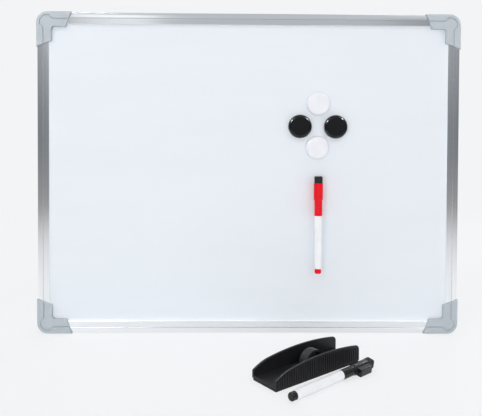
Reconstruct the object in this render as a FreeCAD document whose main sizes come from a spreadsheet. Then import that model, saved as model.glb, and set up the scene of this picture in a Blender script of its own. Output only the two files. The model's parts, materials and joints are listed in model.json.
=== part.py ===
"""Magnetic whiteboard set: a framed steel writing panel, four round magnets, two markers and an eraser.

Millimetres, +Z up, +X to the right along the board, +Y into the wall. The origin is the middle of the board
on the wall plane, so the writing face looks along -Y. The markers and magnets sit where the board holds
them, and the eraser and the second marker lie on the desk that the board's lower edge stands on.
"""

import FreeCAD
import Part

import math
import os
import re

import Sketcher
from FreeCAD import Placement, Rotation, Vector

SIZES = [
    # board
    ("board_width", 600, "over the corner pieces"),
    ("board_height", 456, "over the corner pieces"),
    ("face_thick", 0.5, "lacquered steel writing face"),
    ("core_thick", 9.6, "core board"),
    ("back_thick", 0.4, "back sheet"),
    ("panel_fit", 0.2, "room round the panel's edge and over its face"),
    # rails
    ("rail_wall", 1.2, "wall of the extrusion"),
    ("rail_face", 16, "width of the rail seen from the front"),
    ("rail_chamber", 7, "outer width of the hollow outer box"),
    ("chamber_height", 12.4, "clear height of the hollow"),
    ("back_lip", 12, "reach of the lip behind the panel"),
    ("rail_shoulder", 15, "height of the bead beside the outer side"),
    ("shoulder_round", 0.8, "rounded outer shoulder"),
    ("bead_edge", 15.4, "height of the bead beside the groove"),
    ("bead_radius", 40, "crown of the bead"),
    ("bead_top", 15.6, "highest point of the rail, with a little to spare"),
    ("groove_place", 7.6, "middle of the groove from the outer side"),
    ("groove_half", 0.4, "half the width of the groove"),
    ("groove_floor", 13.9, "height of the groove's floor"),
    ("lip_height", 14.7, "height of the front lip beside the groove"),
    ("lip_nose", 0.7, "upright nose of the front lip over the face"),
    ("lip_slope", 1.5, "height of the front lip's inner edge over the face"),
    # corner pieces
    ("corner_overhang", 1, "how far a corner piece stands out past the rails"),
    ("corner_face", 20.8, "width of each leg seen from the front"),
    ("corner_outer_leg", 49.4, "length of the outer edge of a leg"),
    ("corner_inner_leg", 40.6, "length of the inner edge of a leg"),
    ("corner_radius", 15.5, "outer corner"),
    ("corner_fillet", 4.5, "inner corner"),
    ("corner_depth", 17.5, "from the wall to the front of the outer band"),
    ("corner_edge", 2, "rounded front edge"),
    ("corner_core", 20.5, "solid core, which the rails butt against"),
    ("corner_fit", 0.15, "room between a corner piece and the rails"),
    ("tongue_length", 18, "tongue inside a rail"),
    ("wall_hole_radius", 2.1, "hole for a wall screw"),
    ("hole_inset", 15.5, "wall hole from each outer edge"),
    ("well_radius", 4.2, "well round the head of the wall screw"),
    ("well_floor", 8, "height of the floor of the well"),
    # corner covers
    ("cover_thick", 0.9, "plate of the cover"),
    ("cover_gap", 0.9, "line of shadow round the cover"),
    ("cover_edge", 0.35, "bevelled edge of the plate"),
    ("recess_depth", 1.3, "recess that the cover sits in"),
    ("band_width", 10.4, "outer band, from the outer edge to the cover"),
    ("lobe_radius", 10.1, "round lobe over the screw"),
    ("lobe_side", 3.1, "where the lobe ends, from its centre line"),
    ("lobe_jog", 3.3, "slanted step from the lobe to the straight edge"),
    ("collar_fit", 0.12, "room round the collar in the well"),
    ("collar_wall", 1.2, "wall of the collar"),
    ("collar_length", 4, "reach of the collar into the well"),
    # rail screws
    ("screw_radius", 1.1, "shank"),
    ("screw_head_radius", 2.3, "countersunk head"),
    ("screw_length", 9, "whole screw"),
    ("screw_fit", 0.05, "room round the screw"),
    # round magnets
    ("magnet_radius", 16.7, "plastic cap"),
    ("magnet_height", 7.6, "plastic cap"),
    ("magnet_edge", 4.2, "rounded edge of the cap"),
    ("disc_radius", 11, "ferrite disc"),
    ("disc_height", 4, "ferrite disc"),
    ("disc_fit", 0.1, "room round the disc"),
    ("white_top_x", 98.6, "place on the board"),
    ("white_top_z", 100.4, "place on the board"),
    ("black_left_x", 72.4, "place on the board"),
    ("black_left_z", 68.1, "place on the board"),
    ("black_right_x", 123.2, "place on the board"),
    ("black_right_z", 67.8, "place on the board"),
    ("white_low_x", 97.2, "place on the board"),
    ("white_low_z", 37.9, "place on the board"),
    # markers
    ("plug_show", 7, "tail plug outside the barrel"),
    ("plug_radius", 4.6, "tail plug"),
    ("plug_round", 1.5, "rounded end of the plug"),
    ("plug_waist", 4, "radius of the waist in the plug"),
    ("stem_length", 9, "tail plug inside the barrel"),
    ("stem_fit", 0.05, "room round what is pushed into the barrel"),
    ("barrel_show", 74.9, "barrel between the plug and the cap"),
    ("barrel_radius", 5.5, "barrel"),
    ("barrel_wall", 1.6, "barrel"),
    ("barrel_taper", 5, "tapered stretch at the tail"),
    ("tail_radius", 4.9, "barrel at the tail"),
    ("neck_radius", 4.6, "neck inside the cap"),
    ("neck_length", 11, "neck inside the cap"),
    ("holder_seat", 6, "nib holder inside the neck"),
    ("holder_band", 2, "straight band of the nib holder"),
    ("holder_length", 14, "nib holder past the neck"),
    ("holder_tip", 2.4, "radius at the nib"),
    ("nib_radius", 1.5, "nib"),
    ("nib_show", 4, "nib past its holder"),
    ("nib_back", 2, "nib behind its holder"),
    ("nib_point", 0.6, "radius of the blunt point"),
    ("reservoir_fit", 0.3, "room round the ink reservoir"),
    ("cap_fit", 0.1, "room round the neck in the cap"),
    ("cap_seam", 0.15, "seam between barrel and cap"),
    ("cap_bore", 32, "depth of the cap's bore"),
    ("skirt_length", 22.2, "ringed lower part of the cap"),
    ("skirt_radius", 5.6, "ringed lower part of the cap"),
    ("ring_count", 5, "rings cut into the skirt"),
    ("ring_pitch", 3.2, "from ring to ring"),
    ("ring_start", 3.6, "first ring from the foot of the cap"),
    ("ring_width", 0.9, "width of a ring, a notch with slanted sides"),
    ("ring_depth", 0.3, "depth of a ring"),
    ("head_length", 23.6, "wide upper part of the cap"),
    ("head_radius", 6.4, "wide upper part of the cap"),
    ("head_slope", 0.9, "slope from the skirt to the head"),
    ("head_bevel", 0.7, "bevelled top edge"),
    ("block_width", 9, "magnet block on the side of the cap"),
    ("block_reach", 11, "from the marker's axis to the block's face"),
    ("block_inset", 1.4, "block from each end of the head"),
    ("block_edge", 1, "rounded edges of the block"),
    ("bar_width", 6.4, "bar magnet"),
    ("bar_length", 15, "bar magnet"),
    ("bar_thick", 2.2, "bar magnet"),
    ("bar_fit", 0.1, "room round the bar magnet"),
    ("pad_show", 9.5, "eraser pad on the end of the cap"),
    ("pad_side", 10.8, "eraser pad"),
    ("pad_round", 2.2, "corners of the pad"),
    ("spigot_side", 7.4, "spigot under the pad"),
    ("spigot_depth", 2, "spigot under the pad"),
    ("spigot_fit", 0.1, "room round the spigot"),
    ("red_marker_x", 98.1, "axis on the board"),
    ("red_marker_z", -139.9, "tail end on the board"),
    ("black_marker_x", 43.8, "tail end on the desk"),
    ("black_marker_y", -225.4, "tail end on the desk"),
    ("black_marker_turn", 41, "degrees from +X"),
    # eraser
    ("eraser_length", 136, "body"),
    ("eraser_width", 41.5, "body"),
    ("felt_thick", 3, "felt pad"),
    ("felt_inset", 0.4, "felt pad inside the body's outline"),
    ("felt_round", 1.2, "corners of the felt pad"),
    ("floor_thick", 2.2, "floor of the tray"),
    ("side_wall", 2.6, "walls of the tray"),
    ("lip_thick", 2.6, "lip across the low end"),
    ("lip_rise", 0.7, "lip over the floor"),
    ("low_wall", 12.3, "wall height at the low end"),
    ("bend_x", 24, "where the wall's top edge flattens"),
    ("bend_z", 21.2, "wall height there"),
    ("high_wall", 21, "wall height at the high end, before its corner is rounded"),
    ("front_curve", 62, "radius of the steep stretch of the top edge"),
    ("top_curve", 350, "radius of the flat stretch of the top edge"),
    ("end_round", 6, "rounded upper corner at the high end"),
    ("wall_bevel", 0.6, "bevelled top edges of the walls"),
    ("rib_height", 0.8, "ribs on the outer sides"),
    ("rib_margin", 2, "plain border round the ribs"),
    ("rib_pitch", 3.5, "from rib to rib"),
    ("rib_gap", 1.6, "between two ribs"),
    ("arch_place", 74.5, "middle of the arch from the low end"),
    ("arch_radius", 16, "outside of the arch"),
    ("arch_thick", 2.2, "strap of the arch"),
    ("arch_width", 11.5, "strap of the arch"),
    ("arch_leg", 3.6, "straight foot of the arch"),
    ("slab_length", 30, "bar magnet in the eraser"),
    ("slab_width", 14, "bar magnet in the eraser"),
    ("slab_thick", 1.4, "bar magnet in the eraser"),
    ("slab_fit", 0.1, "room round the bar magnet"),
    ("slab_place", 24, "middle of the bar magnet from each end"),
    ("eraser_x", 30.1, "near low corner on the desk"),
    ("eraser_y", -201.9, "near low corner on the desk"),
    ("eraser_turn", 37.8, "degrees from +X"),
]

# Places that several pieces share, as formulas of the sizes
FACE = "(rail_wall + back_thick + core_thick + face_thick)"
PANEL_EDGE = "(corner_overhang + rail_chamber + panel_fit)"
DESK = "(-board_height / 2)"
RECESS_FLOOR = "(corner_depth - recess_depth)"
LEG_REACH = "(corner_outer_leg + corner_face)"
SCREW_ALONG = "(corner_core + tongue_length / 2)"
SCREW_ACROSS = "(corner_overhang + rail_chamber / 2)"
BORE = "(barrel_radius - barrel_wall)"
STEM = "(barrel_radius - barrel_wall - stem_fit)"
CAP_FOOT = "(plug_show + barrel_show)"
NECK_TOP = "(plug_show + barrel_show + neck_length)"
HEAD_FOOT = "(plug_show + barrel_show + skirt_length)"
CAP_TOP = "(plug_show + barrel_show + skirt_length + head_length)"
BLOCK_LENGTH = "(head_length - 2 * block_inset)"
BAR_FOOT = "(plug_show + barrel_show + skirt_length + (head_length - bar_length) / 2)"
NIB_FOOT = "(plug_show + barrel_show + neck_length - holder_seat - nib_back)"
ERASER_FLOOR = "(felt_thick + floor_thick)"
RIB_GAPS = "(floor((eraser_length - 2 * rib_margin + rib_gap) / rib_pitch) - 1)"

# Number of quarter turns from the bottom left corner, and the sides of the board that each corner is on
CORNERS = {
    "bottom_left": (0, -1, -1),
    "bottom_right": (1, 1, -1),
    "top_right": (2, 1, 1),
    "top_left": (3, -1, 1),
}

# Middles of the two bar magnets in the eraser, along its length
SLAB_PLACES = ("slab_place", "(eraser_length - slab_place)")

FACING_OUT = Rotation(Vector(1, 0, 0), Vector(0, 0, 1), Vector(0, -1, 0), "XYZ")
UPRIGHT = Rotation()
# How far an open cut reaches past the solid, what counts as the same place, and the least that a cut takes
CLEAR = 5
SAME_PLACE = 1e-4
LEAST_CUT = 1e-6

doc = FreeCAD.newDocument("magnetic_whiteboard")
sheet = doc.addObject("Spreadsheet::Sheet", "Sizes")
for row, (alias, number, meaning) in enumerate(SIZES, start=1):
    sheet.set(f"A{row}", alias)
    sheet.set(f"B{row}", str(number))
    sheet.set(f"C{row}", meaning)
    sheet.setAlias(f"B{row}", alias)
doc.recompute()
ALIASES = {alias for alias, number, meaning in SIZES}
nodes = []


def formula(text):
    """The text with every size's name pointed at the sheet."""
    return re.sub(r"[a-z_]+", lambda word: f"Sizes.{word[0]}" if word[0] in ALIASES else word[0], str(text))


def value(text):
    """The number that a formula gives now."""
    return float(sheet.evalExpression(formula(text)))


def bind(thing, **formulas):
    for name, text in formulas.items():
        thing.setExpression(name, formula(text))


def place(thing, x, y, z, rotation=UPRIGHT):
    thing.Placement = Placement(Vector(value(x), value(y), value(z)), rotation)
    for axis, text in (("x", x), ("y", y), ("z", z)):
        thing.setExpression(f"Placement.Base.{axis}", formula(text))


def node(thing, label):
    """Keeps a finished piece, to be written under its label."""
    thing.Label = label
    nodes.append(thing)
    return thing


def body(label):
    return node(doc.addObject("PartDesign::Body", label), label)


def origin(owner, role):
    return next(feature for feature in owner.Origin.OriginFeatures if feature.Role == role)


def sketch_on(owner, role, lift="0"):
    """A sketch on one of the body's own planes, lifted along the plane's normal."""
    sketch = owner.newObject("Sketcher::SketchObject", "Sketch")
    sketch.AttachmentSupport = (origin(owner, role), [""])
    sketch.MapMode = "FlatFace"
    sketch.setExpression("AttachmentOffset.Base.z", formula(lift))
    return sketch


def pin(sketch, geometry, point, x, y):
    """Dimensions a point of the sketch from the sketch's origin."""
    for kind, text in (("DistanceX", x), ("DistanceY", y)):
        index = sketch.addConstraint(Sketcher.Constraint(kind, -1, 1, geometry, point, value(text)))
        sketch.setExpression(f"Constraints[{index}]", formula(text))


def arc_between(start, end, radius, side):
    """The short arc from start to end with its centre on the left (side 1) or the right (side -1)."""
    chord = end - start
    rise = math.sqrt(max(radius**2 - chord.Length**2 / 4, 0))
    left = Vector(-chord.y, chord.x, 0).normalize()
    centre = (start + end) / 2 + left * rise * side
    first, last = (start, end) if side > 0 else (end, start)
    angles = [math.atan2(point.y - centre.y, point.x - centre.x) for point in (first, last)]
    return Part.ArcOfCircle(Part.Circle(centre, Vector(0, 0, 1), radius), *angles)


def outline(sketch, corners, arcs=None):
    """Closes lines through the corners. arcs gives the radius and side of each stretch that is round,
    by the number of the corner where it starts."""
    arcs = arcs or {}
    base = sketch.GeometryCount
    count = len(corners)
    points = [Vector(value(x), value(y), 0) for x, y in corners]
    ends = []
    for k, start in enumerate(points):
        end = points[(k + 1) % count]
        if k in arcs:
            radius, side = arcs[k]
            sketch.addGeometry(arc_between(start, end, value(radius), side), False)
            ends.append((1, 2) if side > 0 else (2, 1))
        else:
            sketch.addGeometry(Part.LineSegment(start, end), False)
            ends.append((1, 2))
    for k in range(count):
        after = (k + 1) % count
        sketch.addConstraint(
            Sketcher.Constraint("Coincident", base + k, ends[k][1], base + after, ends[after][0])
        )
    for k, (x, y) in enumerate(corners):
        pin(sketch, base + k, ends[k][0], x, y)
    for k, (radius, side) in arcs.items():
        index = sketch.addConstraint(Sketcher.Constraint("Radius", base + k, value(radius)))
        sketch.setExpression(f"Constraints[{index}]", formula(radius))


def rectangle(sketch, x0, y0, x1, y1):
    outline(sketch, [(x0, y0), (x1, y0), (x1, y1), (x0, y1)])


def rounded_rectangle(sketch, x0, y0, x1, y1, radius):
    near_x, far_x = f"({x0} + {radius})", f"({x1} - {radius})"
    near_y, far_y = f"({y0} + {radius})", f"({y1} - {radius})"
    corners = [
        (near_x, y0), (far_x, y0), (x1, near_y), (x1, far_y),
        (far_x, y1), (near_x, y1), (x0, far_y), (x0, near_y),
    ]
    outline(sketch, corners, {k: (radius, 1) for k in (1, 3, 5, 7)})


def circle(sketch, x, y, radius):
    centre = Vector(value(x), value(y), 0)
    index = sketch.addGeometry(Part.Circle(centre, Vector(0, 0, 1), value(radius)), False)
    pin(sketch, index, 3, x, y)
    limit = sketch.addConstraint(Sketcher.Constraint("Radius", index, value(radius)))
    sketch.setExpression(f"Constraints[{limit}]", formula(radius))


def pad(owner, sketch, length, backward=False, middle=False):
    feature = owner.newObject("PartDesign::Pad", "Pad")
    feature.Profile = sketch
    feature.Reversed = backward
    feature.SideType = "Symmetric" if middle else "One side"
    bind(feature, Length=length)
    doc.recompute()
    return feature


def checked_cut(feature, before):
    """A cut that points away from the solid takes nothing off, so the volumes are compared."""
    doc.recompute()
    if not feature.Shape.Volume < before - LEAST_CUT:
        raise RuntimeError(f"{feature.Label} cuts nothing")
    return feature


def pocket(owner, sketch, depth=None, forward=False):
    """Cuts against the sketch's normal, or along it if forward. Without a depth it cuts right through."""
    before = owner.Shape.Volume
    feature = owner.newObject("PartDesign::Pocket", "Pocket")
    feature.Profile = sketch
    feature.Reversed = forward
    if depth is None:
        feature.Type = "ThroughAll"
    else:
        bind(feature, Length=depth)
    return checked_cut(feature, before)


def turned(owner, corners, arcs=None, cut=False):
    """Turns a half section, given as radius and height, about the body's Z axis."""
    before = owner.Shape.Volume if cut else 0
    sketch = sketch_on(owner, "XZ_Plane")
    outline(sketch, corners, arcs)
    feature = owner.newObject("PartDesign::Groove" if cut else "PartDesign::Revolution", "Turned")
    feature.Profile = sketch
    feature.ReferenceAxis = (sketch, ["V_Axis"])
    feature.Angle = 360
    if cut:
        return checked_cut(feature, before)
    doc.recompute()
    return feature


def repeated(owner, original, axis_role, length, count):
    before = owner.Shape.Volume
    pattern = owner.newObject("PartDesign::LinearPattern", "Repeated")
    pattern.Originals = [original]
    pattern.Direction = (origin(owner, axis_role), [""])
    bind(pattern, Length=length, Occurrences=count)
    owner.Tip = pattern
    return checked_cut(pattern, before)


def rounded(owner, radius, chosen):
    """Rounds the edges of the finished shape that the test picks."""
    base = owner.Tip
    edges = [f"Edge{k}" for k, edge in enumerate(base.Shape.Edges, start=1) if chosen(edge)]
    feature = owner.newObject("PartDesign::Fillet", "Rounded")
    feature.Base = (base, edges)
    bind(feature, Radius=radius)
    doc.recompute()
    return feature


def bevelled(owner, size, chosen):
    """Bevels the edges of the finished shape that the test picks."""
    base = owner.Tip
    edges = [f"Edge{k}" for k, edge in enumerate(base.Shape.Edges, start=1) if chosen(edge)]
    feature = owner.newObject("PartDesign::Chamfer", "Bevelled")
    feature.Base = (base, edges)
    bind(feature, Size=size)
    doc.recompute()
    return feature


def points_along(edge):
    first, last = edge.ParameterRange
    return [edge.valueAt(first + (last - first) * share) for share in (0, 0.25, 0.5, 0.75, 1)]


def near(number, other):
    return abs(number - other) < SAME_PLACE


def turned_about_y(quarter_turns):
    return Rotation(Vector(0, 1, 0), -90 * quarter_turns)


# Panel: three layers whose square corners are cut back for the cores of the corner pieces


def panel():
    width = f"(board_width - 2 * {PANEL_EDGE})"
    height = f"(board_height - 2 * {PANEL_EDGE})"
    notch = f"(corner_core + panel_fit - {PANEL_EDGE})"
    corners = []
    for side_x in (-1, 1):
        for side_z in (-1, 1):
            corner = doc.addObject("Part::Box", "NotchCorner")
            bind(corner, Length=notch, Width=FACE, Height=notch)
            x = f"{side_x} * ({width} - {notch}) / 2 - {notch} / 2"
            z = f"{side_z} * ({height} - {notch}) / 2 - {notch} / 2"
            place(corner, x, f"-{FACE}", z)
            corners.append(corner)
    notches = doc.addObject("Part::MultiFuse", "Notches")
    notches.Shapes = corners
    layers = [
        ("back_sheet", "back_thick", "(rail_wall + back_thick)"),
        ("core_board", "core_thick", "(rail_wall + back_thick + core_thick)"),
        ("face_sheet", "face_thick", FACE),
    ]
    for label, thick, front in layers:
        plate = doc.addObject("Part::Box", f"{label}_plate")
        bind(plate, Length=width, Width=thick, Height=height)
        place(plate, f"-{width} / 2", f"-{front}", f"-{height} / 2")
        layer = doc.addObject("Part::Cut", label)
        layer.Base = plate
        layer.Tool = notches
        node(layer, label)


# Rails: an extrusion with a hollow outer box, a slot for the panel, and a crowned front with a groove


def rail(label, length, quarter_turns, x, z):
    owner = body(label)
    section = sketch_on(owner, "XY_Plane")
    outline(
        section,
        [
            ("0", "0"),
            ("back_lip", "0"),
            ("back_lip", "rail_wall"),
            ("rail_chamber", "rail_wall"),
            ("rail_chamber", FACE),
            ("rail_face", FACE),
            ("rail_face", f"{FACE} + lip_nose"),
            ("rail_face - lip_slope + lip_nose", f"{FACE} + lip_slope"),
            ("groove_place + groove_half", "lip_height"),
            ("groove_place", "groove_floor"),
            ("groove_place - groove_half", "bead_edge"),
            ("shoulder_round", "rail_shoulder"),
            ("0", "rail_shoulder - shoulder_round"),
        ],
        {6: ("lip_slope - lip_nose", 1), 10: ("bead_radius", 1), 11: ("shoulder_round", 1)},
    )
    rectangle(section, "rail_wall", "rail_wall", "rail_chamber - rail_wall", "rail_wall + chamber_height")
    pad(owner, section, length, middle=True)
    for side in (-1, 1):
        sink = owner.newObject("PartDesign::SubtractiveCone", "Countersink")
        wide, narrow = "screw_head_radius + screw_fit", "screw_radius + screw_fit"
        bind(sink, Radius1=wide, Radius2=narrow, Height="rail_wall")
        along = f"{side} * ({length} / 2 - tongue_length / 2)"
        place(sink, "rail_chamber / 2", "0", along, Rotation(Vector(1, 0, 0), -90))
        doc.recompute()
    along_board = Rotation(Vector(0, 0, 1), Vector(0, -1, 0), Vector(1, 0, 0), "XYZ")
    place(owner, x, "0", z, turned_about_y(quarter_turns).multiply(along_board))


def rails():
    across = "(board_width - 2 * corner_core)"
    upright = "(board_height - 2 * corner_core)"
    out_x = "(board_width / 2 - corner_overhang)"
    out_z = "(board_height / 2 - corner_overhang)"
    rail("rail_bottom", across, 0, "0", f"-{out_z}")
    rail("rail_right", upright, 1, out_x, "0")
    rail("rail_top", across, 2, "0", out_z)
    rail("rail_left", upright, 3, f"-{out_x}", "0")


# Corner pieces: moulded shells over the rail ends, drawn in the corner's own frame with the outer corner at
# the origin, the legs along X and Y and the front at +Z


def on_both_legs(sketch, along0, across0, along1, across1):
    rectangle(sketch, along0, across0, along1, across1)
    rectangle(sketch, across0, along0, across1, along1)


def place_corner(owner, name):
    quarter_turns, side_x, side_z = CORNERS[name]
    turn = turned_about_y(quarter_turns).multiply(FACING_OUT)
    place(owner, f"{side_x} * board_width / 2", "0", f"{side_z} * board_height / 2", turn)


def lobed_edge(gap):
    """The outer edge of a cover from one leg to the other, moved out by the gap, and its round stretch."""
    band = f"(band_width - {gap})"
    jog = f"(hole_inset + lobe_side + lobe_jog + {gap} / 2)"
    side = f"(hole_inset + lobe_side + {gap} / 2)"
    reach = f"(lobe_radius + {gap})"
    low = f"(hole_inset - sqrt({reach} ^ 2 - (lobe_side + {gap} / 2) ^ 2))"
    corners = [(jog, band), (side, low), (low, side), (band, jog)]
    return corners, (reach, -1)


def corner_piece(name):
    owner = body(f"corner_{name}")
    shell = sketch_on(owner, "XY_Plane")
    outline(
        shell,
        [
            ("corner_radius", "0"),
            ("corner_outer_leg", "0"),
            ("corner_inner_leg", "corner_face"),
            ("corner_face + corner_fillet", "corner_face"),
            ("corner_face", "corner_face + corner_fillet"),
            ("corner_face", "corner_inner_leg"),
            ("0", "corner_outer_leg"),
            ("0", "corner_radius"),
        ],
        {3: ("corner_fillet", -1), 7: ("corner_radius", 1)},
    )
    pad(owner, shell, "corner_depth")

    outer = "(corner_overhang - corner_fit)"
    middle = "(corner_overhang + groove_place)"
    inner = "(corner_overhang + rail_face + corner_fit)"
    under_bead = sketch_on(owner, "XY_Plane")
    on_both_legs(under_bead, "corner_core", outer, LEG_REACH, middle)
    pocket(owner, under_bead, "bead_top + corner_fit", forward=True)
    under_lip = sketch_on(owner, "XY_Plane")
    on_both_legs(under_lip, "corner_core", middle, LEG_REACH, inner)
    pocket(owner, under_lip, "lip_height + 2 * corner_fit", forward=True)

    over_panel = sketch_on(owner, "XY_Plane")
    far = f"(corner_face + corner_fillet + {CLEAR})"
    outline(
        over_panel,
        [
            ("corner_core", inner), (LEG_REACH, inner), (LEG_REACH, far), (far, far),
            (far, LEG_REACH), (inner, LEG_REACH), (inner, "corner_core"), ("corner_core", "corner_core"),
        ],
    )
    pocket(owner, over_panel, f"{FACE} + panel_fit", forward=True)

    recess = sketch_on(owner, "XY_Plane", "corner_depth")
    edge, lobe = lobed_edge("cover_gap")
    band = edge[0][1]
    outline(recess, [(LEG_REACH, band), *edge, (band, LEG_REACH), (LEG_REACH, LEG_REACH)], {2: lobe})
    pocket(owner, recess, "recess_depth")

    tongues = sketch_on(owner, "XY_Plane", "rail_wall + corner_fit")
    near_side = "(corner_overhang + rail_wall + corner_fit)"
    far_side = "(corner_overhang + rail_chamber - rail_wall - corner_fit)"
    on_both_legs(tongues, "corner_core - rail_wall", near_side, "corner_core + tongue_length", far_side)
    pad(owner, tongues, "chamber_height - 2 * corner_fit")

    pilots = sketch_on(owner, "XY_Plane")
    circle(pilots, SCREW_ALONG, SCREW_ACROSS, "screw_radius + screw_fit")
    circle(pilots, SCREW_ACROSS, SCREW_ALONG, "screw_radius + screw_fit")
    pocket(owner, pilots, "screw_length + corner_fit", forward=True)

    well = sketch_on(owner, "XY_Plane", "corner_depth")
    circle(well, "hole_inset", "hole_inset", "well_radius")
    pocket(owner, well, "corner_depth - well_floor")
    hole = sketch_on(owner, "XY_Plane")
    circle(hole, "hole_inset", "hole_inset", "wall_hole_radius")
    pocket(owner, hole, "corner_depth", forward=True)

    front = value("corner_depth")
    outer_radius = value("corner_radius")

    def on_outer_edge(edge):
        for point in points_along(edge):
            on_side = near(point.x, 0) or near(point.y, 0)
            from_centre = math.hypot(point.x - outer_radius, point.y - outer_radius)
            on_round = near(from_centre, outer_radius) and point.x < outer_radius and point.y < outer_radius
            if not near(point.z, front) or not (on_side or on_round):
                return False
        return True

    rounded(owner, "corner_edge", on_outer_edge)
    place_corner(owner, name)


def corner_cover(name):
    owner = body(f"cover_{name}")
    plate = sketch_on(owner, "XY_Plane", RECESS_FLOOR)
    edge, lobe = lobed_edge("0")
    leg_end = "(corner_outer_leg - (corner_outer_leg - corner_inner_leg) * band_width / corner_face)"
    outline(
        plate,
        [
            (leg_end, "band_width"),
            *edge,
            ("band_width", leg_end),
            ("corner_face", "corner_inner_leg"),
            ("corner_face", "corner_face + corner_fillet"),
            ("corner_face + corner_fillet", "corner_face"),
            ("corner_inner_leg", "corner_face"),
        ],
        {2: lobe, 7: ("corner_fillet", 1)},
    )
    pad(owner, plate, "cover_thick")
    front = value(f"{RECESS_FLOOR} + cover_thick")
    bevelled(owner, "cover_edge", lambda edge: all(near(point.z, front) for point in points_along(edge)))

    collar = sketch_on(owner, "XY_Plane", RECESS_FLOOR)
    circle(collar, "hole_inset", "hole_inset", "well_radius - collar_fit")
    circle(collar, "hole_inset", "hole_inset", "well_radius - collar_fit - collar_wall")
    pad(owner, collar, "collar_length", backward=True)
    place_corner(owner, name)


def rail_screws():
    """Countersunk screws from the back, two in each corner, through the rail into the tongue."""
    screws = []
    into_board = Rotation(Vector(1, 0, 0), 90)
    for _, side_x, side_z in CORNERS.values():
        for inset_x, inset_z in ((SCREW_ALONG, SCREW_ACROSS), (SCREW_ACROSS, SCREW_ALONG)):
            x = f"{side_x} * (board_width / 2 - {inset_x})"
            z = f"{side_z} * (board_height / 2 - {inset_z})"
            head = doc.addObject("Part::Cone", "ScrewHead")
            bind(head, Radius1="screw_head_radius", Radius2="screw_radius", Height="rail_wall")
            place(head, x, "0", z, into_board)
            shank = doc.addObject("Part::Cylinder", "ScrewShank")
            bind(shank, Radius="screw_radius", Height="screw_length")
            place(shank, x, "0", z, into_board)
            screw = doc.addObject("Part::Fuse", "Screw")
            screw.Base = head
            screw.Tool = shank
            screws.append(screw)
    group = doc.addObject("Part::Compound", "rail_screws")
    group.Links = screws
    node(group, "rail_screws")


# Round magnets: a moulded cap with a rounded edge, and a ferrite disc flush with its rim


def round_magnet(label, x, z):
    cap = body(f"{label}_cap")
    turned(
        cap,
        [
            ("0", "disc_height"),
            ("disc_radius + disc_fit", "disc_height"),
            ("disc_radius + disc_fit", "0"),
            ("magnet_radius", "0"),
            ("magnet_radius", "magnet_height - magnet_edge"),
            ("magnet_radius - magnet_edge", "magnet_height"),
            ("0", "magnet_height"),
        ],
        {4: ("magnet_edge", 1)},
    )
    disc = body(f"{label}_disc")
    turned(disc, [("0", "0"), ("disc_radius", "0"), ("disc_radius", "disc_height"), ("0", "disc_height")])
    for owner in (cap, disc):
        place(owner, x, f"-{FACE}", z, FACING_OUT)


# Markers: drawn upright about Z with the tail at the origin and the magnet block towards +Y


def marker_cap(label):
    owner = body(f"{label}_cap")
    turned(
        owner,
        [
            ("0", CAP_FOOT),
            ("skirt_radius", CAP_FOOT),
            ("skirt_radius", f"{HEAD_FOOT} - head_slope"),
            ("head_radius", HEAD_FOOT),
            ("head_radius", f"{CAP_TOP} - head_bevel"),
            ("head_radius - head_bevel", CAP_TOP),
            ("0", CAP_TOP),
        ],
    )
    block = sketch_on(owner, "XY_Plane", f"{HEAD_FOOT} + block_inset")
    rectangle(block, "-block_width / 2", "0", "block_width / 2", "block_reach")
    pad(owner, block, BLOCK_LENGTH)
    reach = value("block_reach")
    rounded(owner, "block_edge", lambda edge: all(near(point.y, reach) for point in points_along(edge)))

    bore = "(neck_radius + cap_fit)"
    bore_top = f"({CAP_FOOT} + cap_bore)"
    below = f"({CAP_FOOT} - {CLEAR})"
    turned(owner, [("0", below), (bore, below), (bore, bore_top), ("0", bore_top)], cut=True)
    magnet_bed = sketch_on(owner, "XZ_Plane", "-block_reach")
    half = "(bar_width / 2 + bar_fit)"
    rectangle(magnet_bed, f"-{half}", f"{BAR_FOOT} - bar_fit", half, f"{BAR_FOOT} + bar_length + bar_fit")
    pocket(owner, magnet_bed, "bar_thick", forward=True)
    socket = sketch_on(owner, "XY_Plane", CAP_TOP)
    half = "(spigot_side / 2 + spigot_fit)"
    rectangle(socket, f"-{half}", f"-{half}", half, half)
    pocket(owner, socket, "spigot_depth")

    ring_middle = f"({CAP_FOOT} + ring_start)"
    ring = turned(
        owner,
        [
            ("skirt_radius - ring_depth", ring_middle),
            ("skirt_radius + ring_depth", f"{ring_middle} - ring_width"),
            ("skirt_radius + ring_depth", f"{ring_middle} + ring_width"),
        ],
        cut=True,
    )
    repeated(owner, ring, "Z_Axis", "ring_pitch * (ring_count - 1)", "ring_count")
    return owner


def marker_cap_magnet(label):
    owner = body(f"{label}_cap_magnet")
    bar = sketch_on(owner, "XZ_Plane", "-block_reach")
    rectangle(bar, "-bar_width / 2", BAR_FOOT, "bar_width / 2", f"{BAR_FOOT} + bar_length")
    pad(owner, bar, "bar_thick")
    return owner


def marker_pad(label):
    owner = body(f"{label}_pad")
    block = sketch_on(owner, "XY_Plane", CAP_TOP)
    half = "(pad_side / 2)"
    rounded_rectangle(block, f"-{half}", f"-{half}", half, half, "pad_round")
    pad(owner, block, "pad_show")
    spigot = sketch_on(owner, "XY_Plane", CAP_TOP)
    half = "(spigot_side / 2)"
    rectangle(spigot, f"-{half}", f"-{half}", half, half)
    pad(owner, spigot, "spigot_depth", backward=True)
    return owner


def marker_barrel(label):
    owner = body(f"{label}_barrel")
    shoulder = f"({CAP_FOOT} - cap_seam)"
    turned(
        owner,
        [
            (BORE, "plug_show"),
            ("tail_radius", "plug_show"),
            ("barrel_radius", "plug_show + barrel_taper"),
            ("barrel_radius", shoulder),
            ("neck_radius", shoulder),
            ("neck_radius", NECK_TOP),
            (BORE, NECK_TOP),
        ],
    )
    return owner


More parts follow.
